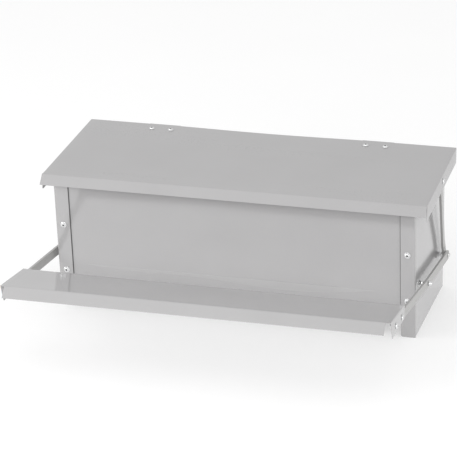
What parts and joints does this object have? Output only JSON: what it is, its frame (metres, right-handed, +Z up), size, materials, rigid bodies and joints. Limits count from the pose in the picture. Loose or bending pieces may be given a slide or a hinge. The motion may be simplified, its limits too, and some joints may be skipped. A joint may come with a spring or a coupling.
{
  "type": "treadle poultry feeder",
  "caption": "Free-standing sheet-metal feed bin for poultry, with a hinged lid that a front step plate lifts through side arms and push links.",
  "frame": {"origin": "on the ground under the middle of the whole feeder, halfway between the front lip of the step plate and the back of the feet", "axes": "+X to the feeder's right as seen from the front, +Y towards the back, +Z up"},
  "size_m": [0.8578, 0.6896, 0.3381],
  "materials": {
    "sheet": "light grey semi-gloss coated sheet steel with soft bends",
    "bar": "grey satin flat bar",
    "zinc": "bright zinc-plated fasteners and hinges"
  },
  "bodies": {
    "bin": {"front_panel": "sheet", "rear_panel": "sheet", "floor_panel": "sheet", "end_plate_left": "sheet", "end_plate_right": "sheet", "pivot_bolt_left": "zinc", "pivot_bolt_right": "zinc", "pivot_washer_left": "zinc", "pivot_washer_right": "zinc", "pivot_plate_nut_left": "zinc", "pivot_plate_nut_right": "zinc", "pivot_lock_nut_left": "zinc", "pivot_lock_nut_right": "zinc", "front_bolt_left_1": "zinc", "front_bolt_left_2": "zinc", "front_bolt_right_1": "zinc", "front_bolt_right_2": "zinc", "rear_bolt_left_1": "zinc", "rear_bolt_left_2": "zinc", "rear_bolt_right_1": "zinc", "rear_bolt_right_2": "zinc", "hinge_box_leaf_left": "zinc", "hinge_box_leaf_right": "zinc", "hinge_pin_left": "zinc", "hinge_pin_right": "zinc", "hinge_box_bolt_left_1": "zinc", "hinge_box_bolt_left_2": "zinc", "hinge_box_bolt_right_1": "zinc", "hinge_box_bolt_right_2": "zinc"},
    "treadle": {"step_plate": "sheet", "arm_left": "bar", "arm_right": "bar", "step_bolt_left_1": "zinc", "step_bolt_left_2": "zinc", "step_bolt_right_1": "zinc", "step_bolt_right_2": "zinc", "link_bolt_left": "zinc", "link_bolt_right": "zinc", "link_nut_left": "zinc", "link_nut_right": "zinc", "link_washer_left": "zinc", "link_washer_right": "zinc"},
    "lid": {"lid": "sheet", "lid_link_bolt_left": "zinc", "lid_link_bolt_right": "zinc", "lid_link_spacer_left": "zinc", "lid_link_spacer_right": "zinc", "hinge_lid_leaf_left": "zinc", "hinge_lid_leaf_right": "zinc", "hinge_lid_bolt_left_1": "zinc", "hinge_lid_bolt_left_2": "zinc", "hinge_lid_bolt_right_1": "zinc", "hinge_lid_bolt_right_2": "zinc"},
    "link_left": {"link_left": "bar", "link_top_nut_left": "zinc"},
    "link_right": {"link_right": "bar", "link_top_nut_right": "zinc"}
  },
  "joints": [
    {"name": "step_pivot", "type": "hinge", "parent": "bin", "child": "treadle", "pos_m": [0, 0.0568, 0.115], "axis": [1, 0, 0], "range_deg": [0, 20]},
    {"name": "lid_hinge", "type": "hinge", "parent": "bin", "child": "lid", "pos_m": [0, 0.3322, 0.331], "axis": [-1, 0, 0], "range_deg": [0, 34.6]},
    {"name": "link_pin_left", "type": "hinge", "parent": "treadle", "child": "link_left", "pos_m": [-0.4095, 0.2988, 0.09322], "axis": [1, 0, 0], "range_deg": [-26.4, 0]},
    {"name": "link_pin_right", "type": "hinge", "parent": "treadle", "child": "link_right", "pos_m": [0.4095, 0.2988, 0.09322], "axis": [1, 0, 0], "range_deg": [-26.4, 0]}
  ],
  "couplings": [
    {"joint": "lid_hinge", "follows": "step_pivot", "ratio": 1.7288},
    {"joint": "link_pin_left", "follows": "step_pivot", "ratio": -1.3189},
    {"joint": "link_pin_right", "follows": "step_pivot", "ratio": -1.3189}
  ]
}
